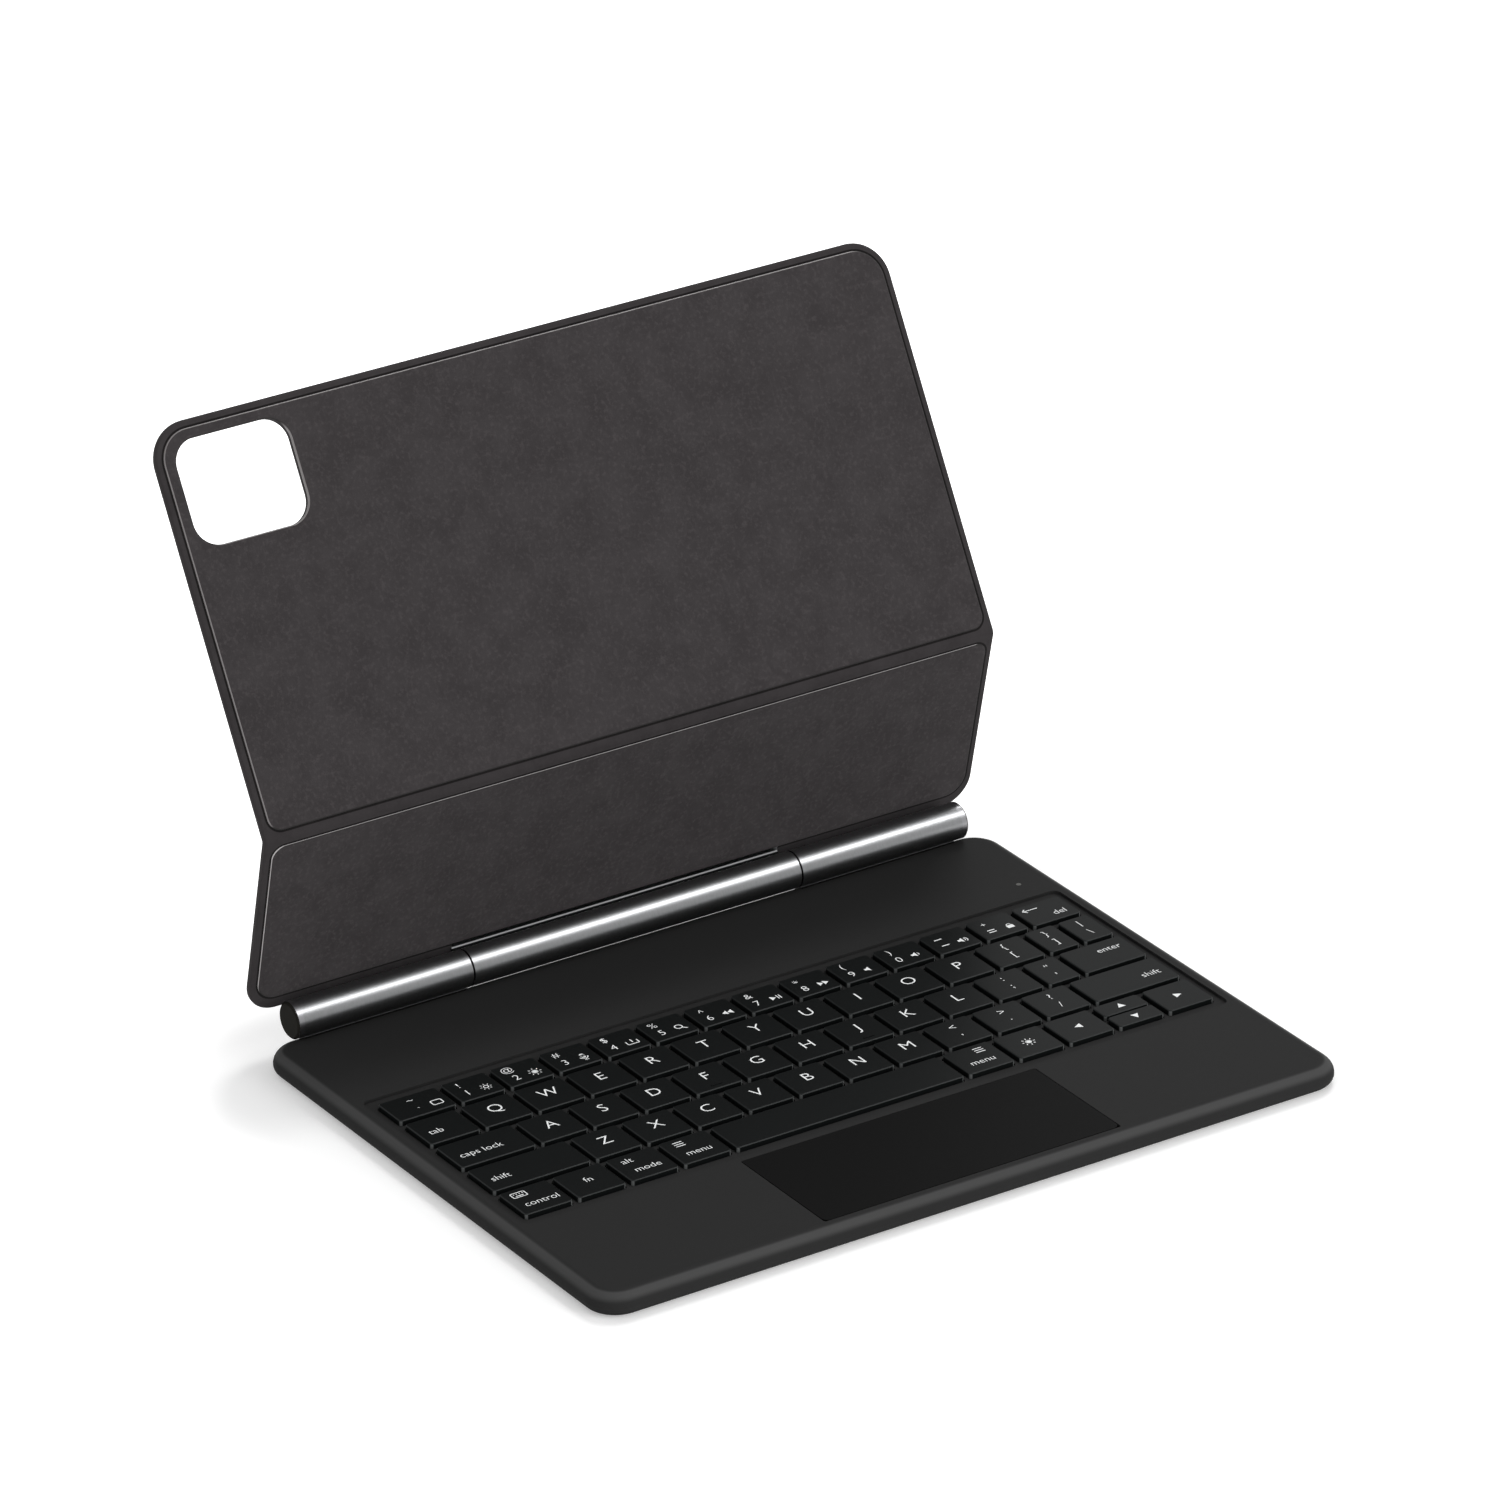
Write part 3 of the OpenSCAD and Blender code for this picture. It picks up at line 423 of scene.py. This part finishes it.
# flat marks on the key tops
class Ink:
    def __init__(self):
        self.work = bmesh.new()
        self.at = (0.0, 0.0)

    def patch(self, points):
        size = legend["icon"]
        ax, ay = self.at
        verts = [self.work.verts.new((ax + x * size, ay + y * size, 0)) for x, y in points]
        face = self.work.faces.new(verts)
        face.normal_update()
        if face.normal.z < 0:
            face.normal_flip()

    def bar(self, x0, y0, x1, y1, wide=pen["line"]):
        run = Vector((x1 - x0, y1 - y0)).normalized()
        sx, sy = -run.y * wide / 2, run.x * wide / 2
        self.patch([(x0 + sx, y0 + sy), (x0 - sx, y0 - sy), (x1 - sx, y1 - sy), (x1 + sx, y1 + sy)])

    def disc(self, x, y, r, steps=14):
        turns = [2 * math.pi * i / steps for i in range(steps)]
        self.patch([(x + r * math.cos(a), y + r * math.sin(a)) for a in turns])

    def arc(self, x, y, r, wide, start=0, end=360, steps=16):
        inner, outer = r - wide / 2, r + wide / 2
        for i in range(steps):
            corners = []
            for a, rr in ((i, inner), (i + 1, inner), (i + 1, outer), (i, outer)):
                turn = math.radians(start + (end - start) * a / steps)
                corners.append((x + rr * math.cos(turn), y + rr * math.sin(turn)))
            self.patch(corners)

    def frame(self, w, h, r, wide):  # outline of a rounded box about the origin
        for sx, sy, start in ((1, 1, 0), (-1, 1, 90), (-1, -1, 180), (1, -1, 270)):
            self.arc(sx * (w / 2 - r), sy * (h / 2 - r), r, wide, start, start + 90, 4)
        for s in (-1, 1):
            self.bar(-w / 2 + r, s * h / 2, w / 2 - r, s * h / 2, wide)
            self.bar(s * w / 2, -h / 2 + r, s * w / 2, h / 2 - r, wide)

    def words(self, text, height, align):
        mesh = textMesh(text)
        scale = height / capHeight
        xs = [v.co.x * scale for v in mesh.vertices]
        ys = [v.co.y * scale for v in mesh.vertices]
        dx = {"centre": -(min(xs) + max(xs)) / 2, "left": -min(xs), "right": -max(xs)}[align]
        dy = -(min(ys) + max(ys)) / 2 if len(text) == 1 else -height / 2
        ax, ay = self.at
        verts = [self.work.verts.new((ax + x + dx, ay + y + dy, 0)) for x, y in zip(xs, ys)]
        for face in mesh.polygons:
            corners = [verts[i] for i in face.vertices]
            if len(set(corners)) > 2:
                try:
                    self.work.faces.new(corners)
                except ValueError:  # the font gave this face twice
                    pass
        bpy.data.meshes.remove(mesh)


def sunMark(ink, r=0.52, rays=8):
    ink.arc(0, 0, r, pen["fine"])
    for i in range(rays):
        a = 2 * math.pi * i / rays
        x, y = r * math.cos(a), r * math.sin(a)
        ink.bar(1.75 * x, 1.75 * y, 2.5 * x, 2.5 * y, pen["fine"])


def bigSunMark(ink):
    sunMark(ink, 0.6)
    ink.disc(0, 0, 0.6)


def microphoneMark(ink):
    ink.disc(0, 0.9, 0.5)
    ink.patch([(-0.5, 0.9), (-0.5, 0.0), (0.5, 0.0), (0.5, 0.9)])
    ink.disc(0, 0.0, 0.5)
    ink.arc(0, 0.1, 0.95, pen["fine"], 190, 350, 8)
    ink.bar(0, -0.8, 0, -1.4, pen["fine"])
    ink.bar(-0.5, -1.4, 0.5, -1.4, pen["fine"])


def trayMark(ink):
    ink.bar(-1.3, 0.5, -1.3, -0.9)
    ink.bar(-1.3, -0.9, 1.3, -0.9)
    ink.bar(1.3, -0.9, 1.3, 0.5)
    ink.bar(0.1, 1.1, 0.1, -0.2)


def lensMark(ink):
    ink.arc(-0.25, 0.25, 0.8, pen["line"])
    ink.bar(0.35, -0.35, 1.15, -1.15, pen["bold"])


def wedge(ink, x, side, size=0.85):  # points left where side is 1, right where it is -1
    tip, base = x - side * size * 0.9, x + side * size * 0.5
    ink.patch([(tip, 0), (base, size), (base, -size)])


def backMark(ink):
    wedge(ink, -0.6, 1)
    wedge(ink, 0.65, 1)


def playMark(ink):
    wedge(ink, -0.7, -1)
    ink.bar(0.5, -0.8, 0.5, 0.8)
    ink.bar(1.1, -0.8, 1.1, 0.8)


def nextMark(ink):
    wedge(ink, -0.65, -1)
    wedge(ink, 0.6, -1)


def speakerMark(ink, waves=0):
    box = [(-1.3, -0.35), (-0.8, -0.35), (-0.1, -0.95), (-0.1, 0.95), (-0.8, 0.35), (-1.3, 0.35)]
    ink.patch(box)
    for i in range(waves):
        ink.arc(-0.1, 0, 0.6 + 0.5 * i, pen["fine"], -50, 50, 5)


def softerMark(ink):
    speakerMark(ink, 1)


def louderMark(ink):
    speakerMark(ink, 2)


def lockMark(ink):
    ink.patch([(-0.8, -1.0), (0.8, -1.0), (0.8, 0.2), (-0.8, 0.2)])
    ink.arc(0, 0.3, 0.5, pen["thin"], 0, 180, 8)


def screenMark(ink):
    ink.frame(2.4, 1.8, 0.4, pen["line"])


def keyboardMark(ink):
    ink.frame(3.2, 1.9, 0.3, pen["thin"])
    for x in (-1.0, -0.35, 0.35, 1.0):
        ink.disc(x, 0.35, 0.16, 8)
    ink.bar(-0.9, -0.4, 0.9, -0.4)


def barsMark(ink):
    for y in (-0.8, 0, 0.8):
        ink.bar(-1.1, y, 1.1, y)


def longArrow(ink):
    ink.bar(-1.6, 0, 2.0, 0)
    for side in (1, -1):
        ink.bar(-1.7, 0, -0.8, 0.75 * side)


def dashes(*heights):  # level strokes at these heights
    def draw(ink):
        for y in heights:
            ink.bar(-0.9, y, 0.9, y, pen["bold"])
    return draw


def pointer(turn):  # a solid arrow head
    def draw(ink):
        c, s = math.cos(math.radians(turn)), math.sin(math.radians(turn))
        points = [(1.0, 0), (-0.7, 0.9), (-0.7, -0.9)]
        ink.patch([(x * c - y * s, x * s + y * c) for x, y in points])
    return draw


digitSigns = dict(zip("1234567890", "!@#$%^&*()"))
digitMarks = dict(zip("1234567890", (
    sunMark, bigSunMark, microphoneMark, trayMark, lensMark,
    backMark, playMark, nextMark, speakerMark, softerMark,
)))
pairedSigns = {
    "open": "[{", "close": "]}", "slash_back": "\\|", "colon": ";:", "quote": "'\"",
    "comma": ",<", "stop": ".>", "slash": "/?",
}
sideWords = {
    "tab": ("tab", (3.0, 6.3)), "caps": ("caps lock", (3.0, 6.3)), "shift": ("shift", (3.0, 6.3)),
    "shift_right": ("shift", (-3.0, 6.3)), "enter": ("enter", (-3.0, 9.6)),
}
arrowTurns = {"left": 180, "down": 270, "up": 90, "right": 0}
legendAt = {  # from a key's left edge, or below 0 from its right edge, and from its front edge
    "sign": (4.0, 9.3), "drawnSign": (4.2, 9.0), "digit": (4.2, 4.3), "icon": (-4.0, 4.4),
    "tilde": (8.6, 9.3), "grave": (8.6, 4.3), "arrow": (4.4, 9.3), "delete": (-3.0, 4.0),
    "keyboard": (4.6, 11.2), "alt": (5.0, 11.0), "bars": (5.0, 11.2), "farBars": (-5.0, 11.2),
}
middleAt = {  # aside from a key's middle, and from its front edge
    "pairHigh": (0.0, 10.4), "pairLow": (0.0, 4.8), "fn": (0.0, 8.0), "menu": (0.0, 5.2),
    "lowWord": (0.6, 5.2),
}
letterAt = (0.2, 0.57)  # aside from the middle, and the share of the key's depth


def drawKey(ink, key, cell):
    x, y, w, d = cell
    size, at = legend, legendAt
    middle = {name: (w / 2 + aside, v) for name, (aside, v) in middleAt.items()}

    def put(what, place, height=None, align="centre"):  # a text where a height is given
        u, v = place
        ink.at = (x + (u if u >= 0 else w + u), y + v)
        if height:
            ink.words(what, height, align)
        else:
            what(ink)

    if len(key) == 1 and key.isalpha():
        put(key.upper(), (w / 2 + letterAt[0], letterAt[1] * d), size["letter"])
    elif key in digitSigns:
        put(digitSigns[key], at["sign"], size["sign"])
        put(key, at["digit"], size["digit"])
        put(digitMarks[key], at["icon"])
    elif key in pairedSigns:
        low, high = pairedSigns[key]
        put(high, middle["pairHigh"], size["pair"])
        put(low, middle["pairLow"], size["pair"])
    elif key in sideWords:
        text, place = sideWords[key]
        put(text, place, size["word"], "left" if place[0] > 0 else "right")
    elif key == "tick":
        put("~", at["tilde"], size["tick"])
        put("`", at["grave"], size["tick"])
        put(screenMark, at["icon"])
    elif key == "minus":
        put(dashes(-0.4), at["drawnSign"])
        put(dashes(0), at["digit"])
        put(louderMark, at["icon"])
    elif key == "equals":
        put("+", at["drawnSign"], size["plus"])
        put(dashes(-0.45, 0.45), at["digit"])
        put(lockMark, at["icon"])
    elif key == "delete":
        put(longArrow, at["arrow"])
        put("del", at["delete"], size["word"], "right")
    elif key == "mod_1":
        put(keyboardMark, at["keyboard"])
        put("control", middle["lowWord"], size["word"])
    elif key == "mod_2":
        put("fn", middle["fn"], size["word"])
    elif key == "mod_3":
        put("alt", at["alt"], size["word"])
        put("mode", middle["lowWord"], size["word"])
    elif key in ("mod_4", "mod_5"):
        put(barsMark, at["bars" if key == "mod_4" else "farBars"])
        put("menu", middle["menu"], size["word"])
    elif key == "light":
        put(bigSunMark, (w / 2, d / 2))
    elif key in arrowTurns:
        put(pointer(arrowTurns[key]), (w / 2, d / 2))


inkByBody = {}
for key, cell in keyCells().items():
    if key != "space":
        drawKey(inkByBody.setdefault(bodyOf(key), Ink()), key, cell)
shift = Vector((0, -keyboard["baseDepth"] / 2, keyboard["top"] + keyboard["inkRise"]))
for body, ink in inkByBody.items():
    for vert in ink.work.verts:
        vert.co = (vert.co + shift) / 1000
    mesh = bpy.data.meshes.new("legend_" + body)
    ink.work.to_mesh(mesh)
    ink.work.free()
    addPiece("legend_" + body, mesh, inkFinish, body)
print("legends: done")


def roundRect(x0, y0, x1, y1, radii, steps):  # radii: low left, low right, high right, high left
    centres = [(x0, y0, 1, 1, 180), (x1, y0, -1, 1, 270), (x1, y1, -1, -1, 0), (x0, y1, 1, -1, 90)]
    points = []
    for (cx, cy, sx, sy, start), r in zip(centres, radii):
        for i in range(steps + 1):
            a = math.radians(start + 90 * i / steps)
            points.append((cx + sx * r + r * math.cos(a), cy + sy * r + r * math.sin(a)))
    return points


def slabFromLoops(name, loops, thickness, rim, rimSteps):  # flat, with a rolled rim on each loop
    curve = bpy.data.curves.new(name, "CURVE")
    curve.dimensions = "2D"
    curve.fill_mode = "BOTH"
    curve.extrude = max(thickness / 2 - rim, 0.0)
    curve.bevel_depth = rim
    curve.bevel_resolution = rimSteps
    curve.offset = -rim
    for loop in loops:
        spline = curve.splines.new("POLY")
        spline.points.add(len(loop) - 1)
        for point, (x, y) in zip(spline.points, loop):
            point.co = (x, y, 0, 1)
        spline.use_cyclic_u = True
    return meshFromCurve(curve)


# cover: a soft wrap over both leaves, bent at the fold, with a pad on each leaf
cover = {
    "width": 0.2492, "lowerLength": 0.0631, "upperLength": 0.1222, "thick": 0.0024,
    "lowerLean": 103.98, "upperLean": 60.81, "foldAt": (0.0851938, 0.0743042),
    "bottomRadius": 0.0098, "topRadius": 0.012, "cornerSteps": 14, "rim": 0.0008, "rimSteps": 5,
    "foldSoft": 0.0012, "foldRows": 5, "foldBlend": 0.002, "skinBelow": -0.3,
    "cut": (-0.1184, 0.0852, -0.081, 0.1165), "cutRadius": 0.0075, "cutSteps": 12,
}
pads = {
    "inset": 0.0025, "lowInset": 0.0044, "height": 0.0004, "sunk": 0.0007, "rim": 0.0005,
    "rimSteps": 4, "farUpper": 0.0095, "farLower": 0.0068, "near": 0.004, "cornerSteps": 12,
    "flatAbove": 0.97, "shadeBand": 0.0006, "shadeBandTuck": 0.0002, "shadeBandRise": 0.00002,
}


def leafPoint(x, s, h):  # s up the cover from the fold, h proud of the lining, in the frame
    low = math.radians(cover["lowerLean"])
    up = math.radians(cover["upperLean"])
    soft = cover["foldSoft"]
    fy, fz = cover["foldAt"]
    if s <= -soft or s >= soft:
        a = low if s < 0 else up
        c, n = math.cos(a), math.sin(a)
        return Vector((x, fy + s * c - h * n, fz + s * n + h * c))
    turn = low - up
    radius = soft / math.tan(turn / 2)  # the bend's centre lies behind the fold
    a = low - turn * (s + soft) / (2 * soft)
    cy = fy - soft * math.cos(low) + radius * math.sin(low)
    cz = fz - soft * math.sin(low) - radius * math.cos(low)
    r = radius + h
    return Vector((x, cy - r * math.sin(a), cz + r * math.cos(a)))


def cutAlong(mesh, stations):  # adds rows of points so that the flat slab can bend
    work = bmesh.new()
    work.from_mesh(mesh)
    for s in stations:
        whole = work.verts[:] + work.edges[:] + work.faces[:]
        bmesh.ops.bisect_plane(work, geom=whole, plane_co=(0, s, 0), plane_no=(0, 1, 0), dist=1e-7)
    work.to_mesh(mesh)
    work.free()


def bendMesh(mesh, lift):
    for v in mesh.vertices:
        v.co = leafPoint(v.co.x, v.co.y, v.co.z + lift)


def weigh(obj):  # keeps the flat faces flat in the light
    mod = obj.modifiers.new("weigh", "WEIGHTED_NORMAL")
    mod.keep_sharp = True


def addSecond(mesh, chosen, finish):  # a second finish on the chosen faces
    mesh.materials.append(finish.material)
    for face, isChosen in zip(mesh.polygons, chosen):
        face.material_index = 1 if isChosen else 0


half = cover["width"] / 2
outerRadii = (cover["bottomRadius"],) * 2 + (cover["topRadius"],) * 2
outline = roundRect(-half, -cover["lowerLength"], half, cover["upperLength"], outerRadii,
                    cover["cornerSteps"])
opening = roundRect(*cover["cut"], (cover["cutRadius"],) * 4, cover["cutSteps"])
wrapMesh = slabFromLoops("coverWrap", [outline, opening], cover["thick"], cover["rim"],
                         cover["rimSteps"])
rows = cover["foldRows"]
cutAlong(wrapMesh, [cover["foldSoft"] * k / rows for k in range(-rows, rows + 1)])
outside = [face.normal.z < cover["skinBelow"] for face in wrapMesh.polygons]
bendMesh(wrapMesh, -cover["thick"] / 2)
wrap = addPiece("coverWrap", wrapMesh, wrapFinish)
addSecond(wrapMesh, outside, skinFinish)
weigh(wrap)
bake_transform(wrap)
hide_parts("lower_lining", "lower_back_skin", "upper_lining", "upper_back_skin")


def padLoop(leaf, grow):  # outline of a leaf's pad, grown outwards
    inset = pads["inset"] - grow
    if leaf == "upper":
        box = (-half + inset, inset, half - inset, cover["upperLength"] - inset)
        radii = (pads["near"], pads["near"], pads["farUpper"], pads["farUpper"])
    else:
        foot = -cover["lowerLength"] + pads["lowInset"] - grow
        box = (-half + inset, foot, half - inset, -inset)
        radii = (pads["farLower"], pads["farLower"], pads["near"], pads["near"])
    return roundRect(*box, [r + grow for r in radii], pads["cornerSteps"])


def shadeBandMesh(name, leaf):  # a narrow band of painted shade on the wrap round a pad, dark where the pad's foot would shade it
    inner, outer = padLoop(leaf, -pads["shadeBandTuck"]), padLoop(leaf, pads["shadeBand"])
    n = len(inner)
    faces = [(i, n + i, n + (i + 1) % n, (i + 1) % n) for i in range(n)]
    mesh = bpy.data.meshes.new(name)
    mesh.from_pydata([(x, y, 0) for x, y in inner + outer], [], faces)
    return mesh


padThick = pads["height"] + pads["sunk"]
for leaf in ("upper", "lower"):
    body = leaf + "_cover"
    loops = [padLoop(leaf, 0)] + ([opening] if leaf == "upper" else [])
    padMesh = slabFromLoops(leaf, loops, padThick, pads["rim"], pads["rimSteps"])
    rolled = [abs(face.normal.z) < pads["flatAbove"] for face in padMesh.polygons]
    bendMesh(padMesh, pads["height"] - padThick / 2)
    pad = addPiece(leaf + "Pad", padMesh, liningFinish, body)
    # the pad's rolled rim carries the painted highlight and painted shade
    addSecond(padMesh, rolled, edgeFinish[leaf])
    weigh(pad)
    shadeBand = shadeBandMesh(leaf + "Channel", leaf)
    bendMesh(shadeBand, pads["shadeBandRise"])
    addPiece(leaf + "Channel", shadeBand, shadeBandFinish, body)
print("cover: done")


# camera, floor and light
view = {
    "eye": (-1.35568, -2.11348, 1.30621), "right": (0.84030, -0.54189, -0.01612),
    "up": (0.24636, 0.35519, 0.90175), "forward": (0.48292, 0.76171, -0.43196),
    "lens": 237.487, "sensor": 36.0, "sees": 60.0,
}
camera = bpy.data.cameras.new("studioCamera")
camera.sensor_fit = "HORIZONTAL"
camera.sensor_width = view["sensor"]
camera.lens = view["lens"]
camera.clip_end = view["sees"]
cameraObject = bpy.data.objects.new("studioCamera", camera)
columns = [Vector(view["right"]), Vector(view["up"]), -Vector(view["forward"]), Vector(view["eye"])]
turned = [[c[i] for c in columns] for i in range(3)]
cameraObject.matrix_world = Matrix(turned + [[0, 0, 0, 1]])
bpy.context.scene.collection.objects.link(cameraObject)
bpy.context.scene.camera = cameraObject

studio = {
    "floorSize": 14.0, "floorDrop": 0.0002, "floorColour": (0.84, 0.84, 0.84), "floorLift": 0.285,
    "shadedHalf": (0.11, 0.08), "clearing": (0.03, 0.07),  # farther out the floor is plain white
    "worldLight": 0.57,
    "lamps": [  # name, place, aim, width and height, power, and the rays that miss it
        ("backLamp", (1.2, 0.9, 1.9), (0.0, 0.0, 0.05), (0.7, 0.7), 19.0, None),
        ("frontLamp", (1.2, -2.2, 0.72), (0.0, 0.05, 0.08), (1.7, 1.4), 37.0, "glossy"),
        ("tubeLamp", (0.87, -0.68, 1.4), (0.0, 0.09, 0.013), (0.6, 0.55), 10.5, "diffuse"),
        ("leftLamp", (-1.9, -0.9, 0.6), (0.0, 0.05, 0.08), (0.4, 1.0), 7.0, None),
    ],
}
white = (1, 1, 1)

floorMesh = bpy.data.meshes.new("floor")
side, drop = studio["floorSize"] / 2, studio["floorDrop"]
corners = [(side * sx, side * sy, -drop) for sx, sy in ((-1, -1), (1, -1), (1, 1), (-1, 1))]
floorMesh.from_pydata(corners, [], [(0, 1, 2, 3)])
floor = bpy.data.objects.new("floor", floorMesh)
bpy.context.scene.collection.objects.link(floor)
paper = Finish("paleFloor", Base_Color=studio["floorColour"], Roughness=0.9,
               Specular_IOR_Level=0.1, Emission_Strength=1.0)


def seenRays(finish):  # 1 for rays that see a surface, 0 for those that light it
    outs = [finish.add("ShaderNodeLightPath", out=name) for name in
            ("Is Camera Ray", "Is Glossy Ray", "Is Transmission Ray")]
    return outs[0].larger(outs[1]).larger(outs[2])


px, py = paper.split(paper.place())[:2]
beyondX = (abs(px) - studio["shadedHalf"][0]).larger(0.0)
beyondY = (abs(py) - studio["shadedHalf"][1]).larger(0.0)
far = ((beyondX * beyondX + beyondY * beyondY) ** 0.5).ramp(*studio["clearing"])
lifted = paper.mix(far, (studio["floorLift"],) * 3, white)
paper.put("Emission_Color", paper.mix(seenRays(paper), (0, 0, 0), lifted))
floorMesh.materials.append(paper.material)

world = bpy.data.worlds.new("studio")
bpy.context.scene.world = world
world.use_nodes = True


class Sky(Finish):  # the same node helpers, on the world's tree
    def __init__(self, tree):
        self.tree = tree
        tree.nodes.clear()


sky = Sky(world.node_tree)
lit = sky.add("ShaderNodeBackground", None, {"Color": white, "Strength": studio["worldLight"]})
seen = sky.add("ShaderNodeBackground", None, {"Color": white, "Strength": 1.0})
choose = sky.add("ShaderNodeMixShader", None, {0: seenRays(sky), 1: lit, 2: seen})
sky.add("ShaderNodeOutputWorld", None, {"Surface": choose}, out=None)

# the front lamp is a fill, too broad to mirror; the tube lamp only draws the tube's light line
for name, at, aim, size, power, missedBy in studio["lamps"]:
    lamp = bpy.data.lights.new(name, "AREA")
    lamp.shape = "RECTANGLE"
    lamp.size, lamp.size_y = size
    lamp.energy = power
    lampObject = bpy.data.objects.new(name, lamp)
    lampObject.visible_glossy = missedBy != "glossy"
    lampObject.visible_diffuse = missedBy != "diffuse"
    lampObject.location = at
    lampObject.rotation_euler = (Vector(aim) - Vector(at)).to_track_quat("-Z", "Y").to_euler()
    bpy.context.scene.collection.objects.link(lampObject)

bpy.context.scene.view_settings.view_transform = "Standard"
print("stage: done")
